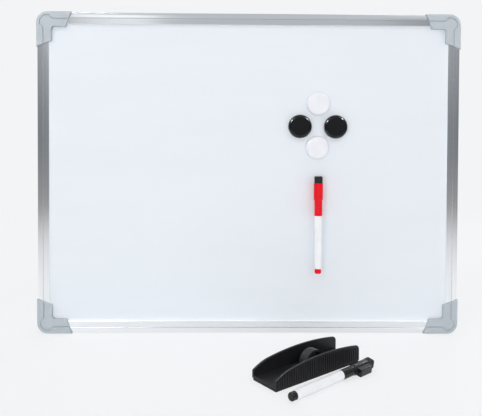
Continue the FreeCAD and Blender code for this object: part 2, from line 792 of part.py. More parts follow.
def marker_tail_plug(label):
    owner = body(f"{label}_tail_plug")
    waist = "(plug_radius - plug_waist)"
    turned(
        owner,
        [
            ("0", "0"),
            ("plug_radius - plug_round", "0"),
            ("plug_radius", "plug_round"),
            ("plug_radius", f"plug_show - 4 * {waist}"),
            ("plug_waist", f"plug_show - 3 * {waist}"),
            ("plug_waist", f"plug_show - 2 * {waist}"),
            ("plug_radius", f"plug_show - {waist}"),
            ("plug_radius", "plug_show"),
            (STEM, "plug_show"),
            (STEM, "plug_show + stem_length"),
            ("0", "plug_show + stem_length"),
        ],
        {1: ("plug_round", 1)},
    )
    return owner


def marker_nib_holder(label):
    owner = body(f"{label}_nib_holder")
    nib_hole = "(nib_radius + stem_fit)"
    seat = f"({NECK_TOP} - holder_seat)"
    tip = f"({NECK_TOP} + holder_length)"
    turned(
        owner,
        [
            (nib_hole, seat),
            (STEM, seat),
            (STEM, NECK_TOP),
            ("neck_radius", NECK_TOP),
            ("neck_radius", f"{NECK_TOP} + holder_band"),
            ("holder_tip", tip),
            (nib_hole, tip),
        ],
    )
    return owner


def marker_nib(label):
    owner = body(f"{label}_nib")
    tip = f"({NECK_TOP} + holder_length + nib_show)"
    turned(
        owner,
        [
            ("0", NIB_FOOT),
            ("nib_radius", NIB_FOOT),
            ("nib_radius", f"{tip} - nib_show / 2"),
            ("nib_point", tip),
            ("0", tip),
        ],
    )
    return owner


def marker_reservoir(label):
    owner = body(f"{label}_reservoir")
    radius = f"({BORE} - reservoir_fit)"
    foot = "(plug_show + stem_length)"
    turned(owner, [("0", foot), (radius, foot), (radius, NIB_FOOT), ("0", NIB_FOOT)])
    return owner


MARKER_PIECES = [
    marker_cap,
    marker_cap_magnet,
    marker_pad,
    marker_barrel,
    marker_tail_plug,
    marker_nib_holder,
    marker_nib,
    marker_reservoir,
]


def markers():
    """The red marker stands on the face. The black one lies on the desk with its block to the front, rolled
    until the block's lower edge meets the desk."""
    turn = math.radians(value("black_marker_turn"))
    along = Vector(math.cos(turn), math.sin(turn), 0)
    reach = value("block_reach")
    half_block = value("block_width / 2")
    roll = math.asin(value("head_radius") / math.hypot(reach, half_block)) - math.atan2(half_block, reach)
    towards_block = Vector(along.y, -along.x, 0) * math.cos(roll) - Vector(0, 0, 1) * math.sin(roll)
    lying = Rotation(towards_block.cross(along), towards_block, along, "XYZ")
    for make in MARKER_PIECES:
        place(make("red_marker"), "red_marker_x", f"-{FACE} - block_reach", "red_marker_z")
        place(make("black_marker"), "black_marker_x", "black_marker_y", f"{DESK} + head_radius", lying)


# Eraser: a ribbed tray with curved walls, drawn with the near low corner at the origin and its length along X


def wall_outline(sketch, foot, margin, rounding=None):
    """The side view of the tray's wall, drawn in by the margin, with a sharp or rounded upper corner."""
    far = f"(eraser_length - {margin})"
    top = f"(high_wall - {margin})"
    corners = [(margin, foot), (far, foot)]
    arcs = {}
    if rounding:
        arcs[len(corners)] = (rounding, 1)
        corners += [(far, f"{top} - {rounding}"), (f"{far} - {rounding}", top)]
    else:
        corners += [(far, top)]
    arcs[len(corners) - 1] = ("top_curve", 1)
    arcs[len(corners)] = ("front_curve", 1)
    corners += [("bend_x", f"bend_z - {margin}"), (margin, f"low_wall - {margin} / 2")]
    outline(sketch, corners, arcs)


def eraser_body():
    owner = body("eraser_body")
    side = sketch_on(owner, "XZ_Plane")
    wall_outline(side, "felt_thick", "0")
    pad(owner, side, "eraser_width", backward=True)
    far = value("eraser_length")
    top = value("high_wall")

    def on_high_corner(edge):
        return all(near(point.x, far) and near(point.z, top) for point in points_along(edge))

    rounded(owner, "end_round", on_high_corner)

    tray = sketch_on(owner, "XZ_Plane", "-side_wall")
    past_end = f"(eraser_length + {CLEAR})"
    above = "(2 * high_wall)"
    lip_top = f"({ERASER_FLOOR} + lip_rise)"
    outline(
        tray,
        [
            (f"-{CLEAR}", lip_top), ("lip_thick", lip_top), ("lip_thick", ERASER_FLOOR),
            (past_end, ERASER_FLOOR), (past_end, above), (f"-{CLEAR}", above),
        ],
    )
    pocket(owner, tray, "eraser_width - 2 * side_wall")

    low_wall = value("low_wall")
    sides = [0, value("side_wall"), value("eraser_width - side_wall"), value("eraser_width")]

    def on_wall_top(edge):
        ends = points_along(edge)
        along_side = any(all(near(point.y, y) for point in ends) for y in sides)
        above_low_end = all(point.z > low_wall - SAME_PLACE for point in ends)
        upright_end = all(near(point.x, 0) for point in ends) or all(near(point.x, far) for point in ends)
        return along_side and above_low_end and not upright_end

    bevelled(owner, "wall_bevel", on_wall_top)

    rib_foot = "felt_thick + rib_height"
    rib_corner = "(end_round - rib_margin / 2)"
    near_ribs = sketch_on(owner, "XZ_Plane")
    wall_outline(near_ribs, rib_foot, "rib_margin", rib_corner)
    pad(owner, near_ribs, "rib_height")
    far_ribs = sketch_on(owner, "XZ_Plane", "-eraser_width")
    wall_outline(far_ribs, rib_foot, "rib_margin", rib_corner)
    pad(owner, far_ribs, "rib_height", backward=True)
    gaps = sketch_on(owner, "XY_Plane")
    run = f"(rib_pitch * ({RIB_GAPS} - 1))"
    start = f"(eraser_length - {run} - rib_gap) / 2"
    rectangle(gaps, start, "-rib_height", f"{start} + rib_gap", "0")
    rectangle(gaps, start, "eraser_width", f"{start} + rib_gap", "eraser_width + rib_height")
    gap = pocket(owner, gaps, "2 * high_wall", forward=True)
    repeated(owner, gap, "X_Axis", run, RIB_GAPS)

    beds = sketch_on(owner, "XY_Plane", "felt_thick")
    for middle in SLAB_PLACES:
        slab_outline(beds, middle, "slab_fit")
    pocket(owner, beds, "slab_thick", forward=True)
    return owner


def slab_outline(sketch, middle, room):
    half_length = f"(slab_length / 2 + {room})"
    half_width = f"(slab_width / 2 + {room})"
    across = "(eraser_width / 2)"
    rectangle(
        sketch,
        f"{middle} - {half_length}",
        f"{across} - {half_width}",
        f"{middle} + {half_length}",
        f"{across} + {half_width}",
    )


def eraser_magnets():
    owner = body("eraser_magnets")
    owner.AllowCompound = True
    slabs = sketch_on(owner, "XY_Plane", "felt_thick")
    for middle in SLAB_PLACES:
        slab_outline(slabs, middle, "0")
    pad(owner, slabs, "slab_thick")
    return owner


def eraser_felt():
    owner = body("eraser_felt")
    block = sketch_on(owner, "XY_Plane")
    far_x = "(eraser_length - felt_inset)"
    far_y = "(eraser_width - felt_inset)"
    rounded_rectangle(block, "felt_inset", "felt_inset", far_x, far_y, "felt_round")
    pad(owner, block, "felt_thick")
    return owner


def eraser_arch():
    owner = body("eraser_arch")
    strap = sketch_on(owner, "XZ_Plane", "-eraser_width / 2")
    foot = ERASER_FLOOR
    spring = f"({ERASER_FLOOR} + arch_leg)"
    inside = "(arch_radius - arch_thick)"
    outline(
        strap,
        [
            ("arch_place + arch_radius", foot),
            ("arch_place + arch_radius", spring),
            ("arch_place", f"{spring} + arch_radius"),
            ("arch_place - arch_radius", spring),
            ("arch_place - arch_radius", foot),
            (f"arch_place - {inside}", foot),
            (f"arch_place - {inside}", spring),
            ("arch_place", f"{spring} + {inside}"),
            (f"arch_place + {inside}", spring),
            (f"arch_place + {inside}", foot),
        ],
        {1: ("arch_radius", 1), 2: ("arch_radius", 1), 6: (inside, -1), 7: (inside, -1)},
    )
    pad(owner, strap, "arch_width", middle=True)
    return owner


def eraser():
    turned_on_desk = Rotation(Vector(0, 0, 1), value("eraser_turn"))
    for make in (eraser_body, eraser_magnets, eraser_felt, eraser_arch):
        place(make(), "eraser_x", "eraser_y", DESK, turned_on_desk)


panel()
rails()
for corner_name in CORNERS:
    corner_piece(corner_name)
    corner_cover(corner_name)
rail_screws()
round_magnet("white_magnet_top", "white_top_x", "white_top_z")
round_magnet("black_magnet_left", "black_left_x", "black_left_z")
round_magnet("black_magnet_right", "black_right_x", "black_right_z")
round_magnet("white_magnet_low", "white_low_x", "white_low_z")
markers()
eraser()
doc.recompute()

failed = [thing.Label for thing in doc.Objects if {"Invalid", "Error"} & set(thing.State)]
failed += [thing.Label for thing in nodes if thing.Shape.isNull() or not thing.Shape.isValid()]
if failed:
    raise RuntimeError(f"failed objects: {failed}")

os.makedirs("parts", exist_ok=True)
for thing in nodes:
    thing.Shape.exportStep(f"parts/{thing.Label}.step")
print(f"{len(nodes)} pieces written")
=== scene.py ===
# %% [markdown]
# A magnetic whiteboard set, dressed for its picture
#
# The solids of this set are already made: a framed steel board, four round magnets, two markers and an
# eraser. This lesson loads them as a fixed frame and gives them their finishes. Hard pieces keep the shape
# of their solids, apart from a small correction to the lips of the rails and a cross in each screw. Soft
# ones, such as the felt pads, are modelled here, because a solid can't show fibres.

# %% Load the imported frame
import json
import math

import bmesh
import bpy
from mathutils import Matrix, Vector, noise


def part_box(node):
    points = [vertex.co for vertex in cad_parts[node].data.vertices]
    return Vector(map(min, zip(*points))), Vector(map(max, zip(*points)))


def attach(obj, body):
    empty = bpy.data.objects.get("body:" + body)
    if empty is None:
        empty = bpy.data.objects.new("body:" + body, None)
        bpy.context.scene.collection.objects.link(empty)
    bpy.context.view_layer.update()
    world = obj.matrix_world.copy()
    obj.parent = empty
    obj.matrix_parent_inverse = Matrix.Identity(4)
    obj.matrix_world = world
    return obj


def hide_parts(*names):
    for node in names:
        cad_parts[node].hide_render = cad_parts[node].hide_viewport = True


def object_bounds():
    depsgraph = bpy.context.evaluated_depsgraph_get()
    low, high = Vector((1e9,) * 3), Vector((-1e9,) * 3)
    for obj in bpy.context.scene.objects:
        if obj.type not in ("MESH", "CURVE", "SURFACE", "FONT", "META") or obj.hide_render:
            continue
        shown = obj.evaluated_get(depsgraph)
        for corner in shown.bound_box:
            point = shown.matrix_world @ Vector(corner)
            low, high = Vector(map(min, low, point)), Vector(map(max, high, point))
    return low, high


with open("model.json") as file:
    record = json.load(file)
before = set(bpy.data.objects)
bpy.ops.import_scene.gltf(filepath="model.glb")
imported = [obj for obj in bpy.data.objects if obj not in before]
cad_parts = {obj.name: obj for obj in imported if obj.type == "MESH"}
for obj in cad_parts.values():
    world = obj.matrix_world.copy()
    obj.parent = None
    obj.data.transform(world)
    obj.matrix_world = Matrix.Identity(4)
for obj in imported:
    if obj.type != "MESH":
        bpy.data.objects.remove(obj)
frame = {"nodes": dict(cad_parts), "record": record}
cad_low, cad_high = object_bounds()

MM = 0.001
scene = bpy.context.scene
nodes = frame["nodes"]

# %% [markdown]
# Where things are
#
# Every piece has its place from the solids, so none has to be fitted by eye. The desk is the lowest plane
# of the set. Each node knows its body, which carries it when it moves, and its slot, which names its finish
# in the record.

# %% Read places, bodies and slots from the frame
DESK = cad_low.z
board_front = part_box("rail_top")[0].y
record = frame["record"]
body_of = {node: body for body, group in record["behaviour"]["bodies"].items() for node in group}
slot_of = {row["node"]: row["material_slot"] for row in record["subparts"]}
print("desk at", round(DESK, 4), "and rails at", round(board_front, 4))

# %% [markdown]
# Camera
#
# The board's edges run almost parallel in the picture, so the camera looks nearly square at it: it is
# turned by about one degree. It stands a little above the middle of the board, where the pieces on the desk
# show about as much of their tops as in the picture. Turning the camera further, to frame the set, would
# make the board's edges converge, so the lens is shifted instead, by just as much as the framing needs.

# %% Place the camera
PICTURE_WIDTH = 482
SENSOR_WIDTH = 36
FOCAL_PIXELS = 528.3
# The lens's axis meets the picture this many pixels right of its middle, and above it
LENS_RIGHT = 14.7
LENS_UP = 46.4
CAMERA_DISTANCE = 0.7506
CAMERA_HEIGHT = 0.26
LOOK_DOWN = math.radians(1.087)
LOOK_RIGHT = math.radians(0.722)
LEAN = math.radians(0.262)

camera = bpy.data.objects.new("camera", bpy.data.cameras.new("camera"))
scene.collection.objects.link(camera)
scene.camera = camera
square_on = Matrix.Rotation(math.radians(90), 3, "X")
pitch = Matrix.Rotation(-LOOK_DOWN, 3, "X")
yaw = Matrix.Rotation(-LOOK_RIGHT, 3, "Z")
roll = Matrix.Rotation(-LEAN, 3, "Y")
camera.location = (0, board_front - CAMERA_DISTANCE, DESK + CAMERA_HEIGHT)
camera.rotation_euler = (roll @ yaw @ pitch @ square_on).to_euler()
camera.data.sensor_width = SENSOR_WIDTH
camera.data.lens = FOCAL_PIXELS / PICTURE_WIDTH * SENSOR_WIDTH
camera.data.shift_x = -LENS_RIGHT / PICTURE_WIDTH
camera.data.shift_y = -LENS_UP / PICTURE_WIDTH
print("lens", round(camera.data.lens, 2), "mm")

# %% [markdown]
# Colours and node helpers
#
# Colours are written as a screen shows them, 0 to 255, because that is how a picture is read. Shaders want
# linear numbers, so one function turns them. The other helpers add one texture or one link each, and a
# finish is then a few short lines: a colour, a roughness, and what makes it vary.

# %% Define the node helpers
# Most values of a noise lie between these two
NOISE_LOW = 0.3
NOISE_HIGH = 0.7


def linear(red, green, blue):
    """A screen colour as linear numbers with full alpha, by the formula for sRGB."""
    shares = [channel / 255 for channel in (red, green, blue)]
    return [s / 12.92 if s <= 0.04045 else ((s + 0.055) / 1.055) ** 2.4 for s in shares] + [1]


def new_finish(name, colour, roughness, **plain_numbers):
    """A material with a Principled shader. plain_numbers are set on the shader's own sockets."""
    material = bpy.data.materials.new(name)
    material.use_nodes = True
    shader = material.node_tree.nodes["Principled BSDF"]
    shader.inputs["Base Color"].default_value = linear(*colour)
    shader.inputs["Roughness"].default_value = roughness
    for words, number in plain_numbers.items():
        shader.inputs[words.replace("_", " ")].default_value = number
    return material


def place_texture(tree, stretch=(1, 1, 1)):
    """The object's own coordinates in metres, multiplied along each axis."""
    place = tree.nodes.new("ShaderNodeTexCoord")
    mapping = tree.nodes.new("ShaderNodeMapping")
    mapping.inputs["Scale"].default_value = stretch
    tree.links.new(place.outputs["Object"], mapping.inputs["Vector"])
    return mapping.outputs["Vector"]


def grain(tree, where, per_metre, detail):
    """A noise with about that many spots to the metre."""
    texture = tree.nodes.new("ShaderNodeTexNoise")
    texture.inputs["Scale"].default_value = per_metre
    texture.inputs["Detail"].default_value = detail
    tree.links.new(where, texture.inputs["Vector"])
    return texture.outputs["Fac"]


def vary_roughness(material, pattern, low, high):
    """Lets the roughness follow a pattern, from low to high."""
    tree = material.node_tree
    spread = tree.nodes.new("ShaderNodeMapRange")
    spread.inputs["From Min"].default_value = NOISE_LOW
    spread.inputs["From Max"].default_value = NOISE_HIGH
    spread.inputs["To Min"].default_value = low
    spread.inputs["To Max"].default_value = high
    tree.links.new(pattern, spread.inputs["Value"])
    tree.links.new(spread.outputs["Result"], tree.nodes["Principled BSDF"].inputs["Roughness"])


def vary_colour(material, pattern, first, second):
    """Lets the colour follow a pattern, from the first to the second."""
    tree = material.node_tree
    ramp = tree.nodes.new("ShaderNodeValToRGB")
    ramp.color_ramp.elements[0].position = NOISE_LOW
    ramp.color_ramp.elements[1].position = NOISE_HIGH
    ramp.color_ramp.elements[0].color = linear(*first)
    ramp.color_ramp.elements[1].color = linear(*second)
    tree.links.new(pattern, ramp.inputs["Fac"])
    tree.links.new(ramp.outputs["Color"], tree.nodes["Principled BSDF"].inputs["Base Color"])


def raise_surface(material, pattern, height, strength=1.0):
    """Lets the shading follow a pattern, as if it were that many metres high."""
    tree = material.node_tree
    bump = tree.nodes.new("ShaderNodeBump")
    bump.inputs["Distance"].default_value = height
    bump.inputs["Strength"].default_value = strength
    tree.links.new(pattern, bump.inputs["Height"])
    tree.links.new(bump.outputs["Normal"], tree.nodes["Principled BSDF"].inputs["Normal"])


print("node helpers ready")

# %% [markdown]
# Writing face and panel
#
# The face is white lacquer on steel, baked on like enamel. It shows a faint ripple, and wipe marks that
# change its gloss and hardly its colour. One noise stretched sideways gives the wipe marks, because people
# wipe a board across. Behind it are a core of pressed card and a rolled aluminium sheet.

# %% Make the panel's finishes
WIPE_STRETCH = (4, 1, 22)
CARD_STRETCH = (1, 6, 1)
ROLL_STRETCH = (2, 1, 700)

lacquer = new_finish("white_lacquer", (233, 238, 244), 0.4, Specular_IOR_Level=0.35)
tree = lacquer.node_tree
wipes = grain(tree, place_texture(tree, WIPE_STRETCH), per_metre=1.0, detail=4)
vary_roughness(lacquer, wipes, 0.36, 0.44)
vary_colour(lacquer, wipes, (232, 237, 243), (234, 239, 245))
ripple = grain(tree, place_texture(tree), per_metre=260, detail=1)
raise_surface(lacquer, ripple, 0.02 * MM, strength=0.3)

card = new_finish("core_card", (150, 122, 88), 0.9)
tree = card.node_tree
card_fibres = grain(tree, place_texture(tree, CARD_STRETCH), per_metre=420, detail=5)
vary_colour(card, card_fibres, (132, 106, 76), (170, 142, 106))
raise_surface(card, card_fibres, 0.1 * MM)

back_metal = new_finish("back_aluminium", (206, 208, 211), 0.42, Metallic=1.0)
tree = back_metal.node_tree
rolled = grain(tree, place_texture(tree, ROLL_STRETCH), per_metre=1.0, detail=4)
vary_roughness(back_metal, rolled, 0.34, 0.5)
vary_colour(back_metal, rolled, (200, 203, 206), (214, 216, 219))
raise_surface(back_metal, rolled, 0.01 * MM)
print("panel finishes:", lacquer.name, card.name, back_metal.name)

# %% [markdown]
# Frame rails
#
# The rails are drawn through a die, which leaves fine lines along their length. A noise that is long one
# way and very fine the other makes those lines, in the gloss and in the height. Two rails lie along X and
# two along Z, so the same recipe is made twice with the lines turned.

# %% Make the rails' finish for both directions
ALONG_LINES = 3
ACROSS_LINES = 1500


def rail_finish(name, line_stretch):
    """Drawn aluminium, with lines along the axis on which the pattern changes least."""
    metal = new_finish(name, (246, 247, 249), 0.15, Metallic=1.0)
    tree = metal.node_tree
    lines = grain(tree, place_texture(tree, line_stretch), per_metre=1.0, detail=3)
    vary_roughness(metal, lines, 0.12, 0.19)
    vary_colour(metal, lines, (240, 242, 244), (250, 251, 252))
    raise_surface(metal, lines, 0.006 * MM)
    return metal


rail_metal = {
    "across": rail_finish("rail_aluminium_across", (ALONG_LINES, ACROSS_LINES, ACROSS_LINES)),
    "upright": rail_finish("rail_aluminium_upright", (ACROSS_LINES, ACROSS_LINES, ALONG_LINES)),
}
print("rail finishes:", len(rail_metal))

# %% [markdown]
# Mouldings
#
# Most other hard pieces are moulded plastic. Two surfaces are common: a fine spark-eroded grain that takes
# the gloss off, as on the corners and the eraser, and a polished one, as on the magnets and the pens. Both
# come from one function, with the height of the grain as its input.

# %% Make the plastics
CLOUDS_PER_METRE = 90
SPOTS_PER_METRE = 1600
TONE_STEP = 3
GLOSS_STEP = 0.15
PLAIN_SPECULAR = 0.5

# Each plastic's colour, roughness, height of grain and specular level
PLASTICS = {
    "corner_plastic": ((183, 192, 198), 0.48, 0.02 * MM, PLAIN_SPECULAR),
    "white_gloss": ((240, 240, 246), 0.2, 0.002 * MM, PLAIN_SPECULAR),
    "black_gloss": ((5, 5, 7), 0.12, 0.002 * MM, 0.55),
    "red_gloss": ((238, 6, 30), 0.26, 0.003 * MM, 0.22),
    "barrel_white": ((247, 248, 251), 0.25, 0.002 * MM, PLAIN_SPECULAR),
    "holder_plastic": ((222, 224, 226), 0.4, 0.004 * MM, PLAIN_SPECULAR),
    "eraser_plastic": ((26, 26, 29), 0.42, 0.03 * MM, 0.35),
    "arch_plastic": ((40, 42, 45), 0.45, 0.03 * MM, 0.35),
    "black_cap_plastic": ((12, 12, 14), 0.2, 0.004 * MM, 0.45),
}


def moulded_plastic(name, colour, roughness, grain_height, specular):
    """A plastic with faint clouds in its colour, and a fine grain in its gloss and height."""
    plastic = new_finish(name, colour, roughness, Specular_IOR_Level=specular)
    tree = plastic.node_tree
    where = place_texture(tree)
    cloud = grain(tree, where, CLOUDS_PER_METRE, detail=3)
    darker = [channel - TONE_STEP for channel in colour]
    lighter = [min(channel + TONE_STEP, 255) for channel in colour]
    vary_colour(plastic, cloud, darker, lighter)
    spots = grain(tree, where, SPOTS_PER_METRE, detail=2)
    vary_roughness(plastic, spots, roughness * (1 - GLOSS_STEP), roughness * (1 + GLOSS_STEP))
    raise_surface(plastic, spots, grain_height)
    return plastic


finish_of = {name: moulded_plastic(name, *look) for name, look in PLASTICS.items()}
print("plastics:", sorted(finish_of))

# %% [markdown]
# Steel and ferrite
#
# The screws are plated steel, whose gloss is patchy. The magnets are sintered ferrite, a dull dark ceramic
# with a visible grain. One noise each is enough, because little of either is seen.

# %% Make the steel and the ferrite
steel = new_finish("screw_steel", (168, 168, 166), 0.32, Metallic=1.0)
plating = grain(steel.node_tree, place_texture(steel.node_tree), per_metre=900, detail=3)
vary_roughness(steel, plating, 0.25, 0.45)

ferrite = new_finish("ferrite", (52, 52, 55), 0.7)
sinter = grain(ferrite.node_tree, place_texture(ferrite.node_tree), per_metre=2400, detail=4)
vary_colour(ferrite, sinter, (42, 42, 45), (66, 66, 70))
raise_surface(ferrite, sinter, 0.05 * MM)

finish_of.update({
    "white_lacquer": lacquer, "core_card": card, "back_aluminium": back_metal,
    "screw_steel": steel, "ferrite": ferrite,
})
print("hard finishes:", len(finish_of))

# %% [markdown]
# Felt and fibre
#
# Felt has no weave: short hairs lie every way. A fine noise with much detail gives the matted colour and
# height, and a little sheen gives the pale bloom that hairs have at a low angle. The nibs and ink stores
# are bundled fibres soaked with ink, so they take the same recipe in the ink's colour.

# %% Make the felt and fibre finishes


def fibre_finish(name, dark, light):
    """Matted or bundled fibres, between a dark and a light tone."""
    felt = new_finish(name, dark, 0.95, Sheen_Weight=0.04, Sheen_Roughness=0.6)
    tree = felt.node_tree
    hairs = grain(tree, place_texture(tree), per_metre=2600, detail=8)
    vary_colour(felt, hairs, dark, light)
    raise_surface(felt, hairs, 0.25 * MM)
    return felt


finish_of["black_felt"] = fibre_finish("black_felt", (14, 13, 15), (36, 34, 37))
finish_of["red_fibre"] = fibre_finish("red_fibre", (150, 18, 26), (190, 40, 46))
finish_of["black_fibre"] = fibre_finish("black_fibre", (20, 20, 22), (48, 48, 52))
print("soft finishes ready")

# %% [markdown]
# A finish for every node
#
# The record gives each node a slot, and most slots have one finish. Two need a choice: a rail takes the
# finish whose lines run along it, and the black marker's cap and tail plug, which share the black magnets'
# slot, are less glossy than those.

# %% Give every node its finish
RAILS_ACROSS = ("rail_top", "rail_bottom")
BLACK_CAP_PIECES = ("black_marker_cap", "black_marker_tail_plug")


def finish_for(node):
    """The finish of a node, by its slot and, where that isn't enough, by its name."""
    slot = slot_of[node]
    if slot == "rail_aluminium":
        return rail_metal["across" if node in RAILS_ACROSS else "upright"]
    if node in BLACK_CAP_PIECES:
        return finish_of["black_cap_plastic"]
    return finish_of[slot]


for name, piece in nodes.items():
    for material_slot in piece.material_slots:
        material_slot.material = finish_for(name)
print("finished", len(nodes), "nodes")

# %% [markdown]
# Copies of the solids
#
# The solids arrive as loose flat triangles. A moulded cap or a drawn rail is smooth, and its highlights
# show every facet. So a piece is copied, its triangles are joined, and only its real corners stay sharp.
# The copy then takes the place of its node.

# %% Define how a node is copied
MERGE = 0.002 * MM
SHARP_ANGLE = math.radians(30)


def joined_mesh(node, name):
    """The node's triangles as one mesh, joined along their edges."""
    source = nodes[node].data
    mesh = bpy.data.meshes.new(name)
    mesh.from_pydata([v.co for v in source.vertices], [], [p.vertices for p in source.polygons])
    work = bmesh.new()
    work.from_mesh(mesh)
    bmesh.ops.remove_doubles(work, verts=work.verts, dist=MERGE)
    bmesh.ops.dissolve_degenerate(work, edges=work.edges, dist=MERGE)
    for face in work.faces:
        face.smooth = True
    for edge in work.edges:
        edge.smooth = edge.is_manifold and edge.calc_face_angle() < SHARP_ANGLE
    work.to_mesh(mesh)
    work.free()
    return mesh


def stand_for(piece, node):
    """Puts a piece on its node's body, in the node's place, and hides the node."""
    scene.collection.objects.link(piece)
    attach(piece, body_of[node])
    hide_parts(node)


print("copy helpers ready")

# %% [markdown]
# Lips of the rails
#
# Each rail ends in a lip along the edge of the writing face. In the solids the lip falls by about 1.5 mm to
# its inner edge, and in the picture it lies nearly level, which shows in what it mirrors. The lip could be
# drawn anew, but its points are all there, so they are moved: each rises with its distance from the groove.

# %% Define how a lip is levelled
# The way from each rail's outer edge to the writing face
INWARD = {
    "rail_bottom": (0, 0, 1),
    "rail_top": (0, 0, -1),
    "rail_left": (1, 0, 0),
    "rail_right": (-1, 0, 0),
}
# The lip starts this far from the outer edge, and lies more than its foot in front of the wall
LIP_START = 8 * MM
LIP_FOOT = 12.3 * MM
LIP_RISE = 1.5 * MM


def level_lip(mesh, rail):
    """Raises the inner edge of a rail's front lip, so that the lip lies nearly level beside the groove."""
    low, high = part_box(rail)
    inward = Vector(INWARD[rail])
    outside = min(low.dot(inward), high.dot(inward))
    width = abs((high - low).dot(inward))
    for vertex in mesh.vertices:
        reach = vertex.co.dot(inward) - outside
        if reach > LIP_START and -vertex.co.y > LIP_FOOT:
            vertex.co.y -= LIP_RISE * (reach - LIP_START) / (width - LIP_START)


print("lips rise by", LIP_RISE, "m at their inner edge")

# %% [markdown]
# Smooth mouldings and extrusions
#
# Flat sheets and hidden magnets can stay as they are, and the felt and the screws are made later. All other
# pieces are copied now. A Weighted Normal modifier lets their large flat faces decide the shading where
# they meet a rounding, which keeps a flat side flat right up to its edge.

# %% Copy the pieces with smooth shading
SMOOTH_SLOTS = {
    "rail_aluminium": "extrusion", "corner_plastic": "moulding", "white_gloss": "moulding",
    "black_gloss": "moulding", "red_gloss": "moulding", "barrel_white": "tube", "holder_plastic": "moulding",
    "red_fibre": "rod", "black_fibre": "rod", "eraser_plastic": "moulding", "arch_plastic": "moulding",
}

smooth_pieces = []
for node in sorted(nodes):
    if slot_of[node] not in SMOOTH_SLOTS:
        continue
    name = f"{node}_{SMOOTH_SLOTS[slot_of[node]]}"
    piece = bpy.data.objects.new(name, joined_mesh(node, name))
    piece.data.materials.append(finish_for(node))
    if node in INWARD:
        level_lip(piece.data, node)
    shading = piece.modifiers.new("even_shading", "WEIGHTED_NORMAL")
    shading.keep_sharp = True
    stand_for(piece, node)
    smooth_pieces.append(piece)
print("smooth pieces:", len(smooth_pieces), "with", sum(len(p.data.polygons) for p in smooth_pieces), "faces")

# %% [markdown]
# Geometry Nodes helpers
#
# What repeats is made by Geometry Nodes: one tree describes a screw or a hair, and instances put it
# everywhere. A tree's inputs are named sizes. The export drops instances, so each tree realizes them, and
# the result is turned into a plain mesh before it becomes a piece.

# %% Define the Geometry Nodes helpers


def new_tree(name, sizes):
    """A tree with a geometry input, named size inputs and a geometry output."""
    tree = bpy.data.node_groups.new(name, "GeometryNodeTree")
    tree.interface.new_socket("Geometry", in_out="INPUT", socket_type="NodeSocketGeometry")
    for label in sizes:
        tree.interface.new_socket(label, in_out="INPUT", socket_type="NodeSocketFloat")
    tree.interface.new_socket("Geometry", in_out="OUTPUT", socket_type="NodeSocketGeometry")
    return tree, tree.nodes.new("NodeGroupInput"), tree.nodes.new("NodeGroupOutput")


def add(tree, kind, links=(), **settings):
    """A node of that kind. links pairs an input with an output or a value, settings are the node's own."""
    node = tree.nodes.new(kind)
    for key, choice in settings.items():
        setattr(node, key, choice)
    for socket, source in links:
        if hasattr(source, "links"):
            tree.links.new(source, node.inputs[socket])
        else:
            node.inputs[socket].default_value = source
    return node


def grow(base, tree, sizes):
    """Runs the tree on an object and returns the result as a plain mesh."""
    modifier = base.modifiers.new(tree.name, "NODES")
    modifier.node_group = tree
    for item in tree.interface.items_tree:
        if item.in_out == "INPUT" and item.name in sizes:
            modifier[item.identifier] = sizes[item.name]
    bpy.context.view_layer.update()
    evaluated = base.evaluated_get(bpy.context.evaluated_depsgraph_get())
    mesh = bpy.data.meshes.new_from_object(evaluated)
    base.modifiers.remove(modifier)
    return mesh


print("tree helpers ready")

# %% [markdown]
# Rail screws
#
# Eight countersunk screws hold the rails to the tongues of the corners, from the back. They could be
# modelled one by one, but they are all alike: a cone, a shank, and a cross cut into the head. A tree builds
# one screw from its sizes and sets it on eight points, which are read from the solids.

# %% Find the screws' places


def screw_places():
    """The middle of each screw's head, from the loose parts of the screws' solid."""
    work = bmesh.new()
    work.from_mesh(joined_mesh("rail_screws", "screw_places"))
    unseen = set(work.verts)
    places = []
    while unseen:
        island = set()
        waiting = {unseen.pop()}
        while waiting:
            vertex = waiting.pop()
            island.add(vertex)
            waiting |= {edge.other_vert(vertex) for edge in vertex.link_edges} - island
        unseen -= island
        across, deep, up = zip(*(vertex.co for vertex in island))
        places.append(((min(across) + max(across)) / 2, max(deep), (min(up) + max(up)) / 2))
    work.free()
    return sorted(places)


points = bpy.data.meshes.new("screw_points")
points.from_pydata(screw_places(), [], [])
print("screws at", len(points.vertices), "points")

# %% Build the screw tree and set the screws
SCREW_SIDES = 32
SCREW_SIZES = {
    "Head radius": 2.3 * MM, "Shank radius": 1.1 * MM, "Head depth": 1.2 * MM, "Length": 9 * MM,
    "Slot length": 2.6 * MM, "Slot width": 0.6 * MM, "Slot depth": 0.8 * MM,
}


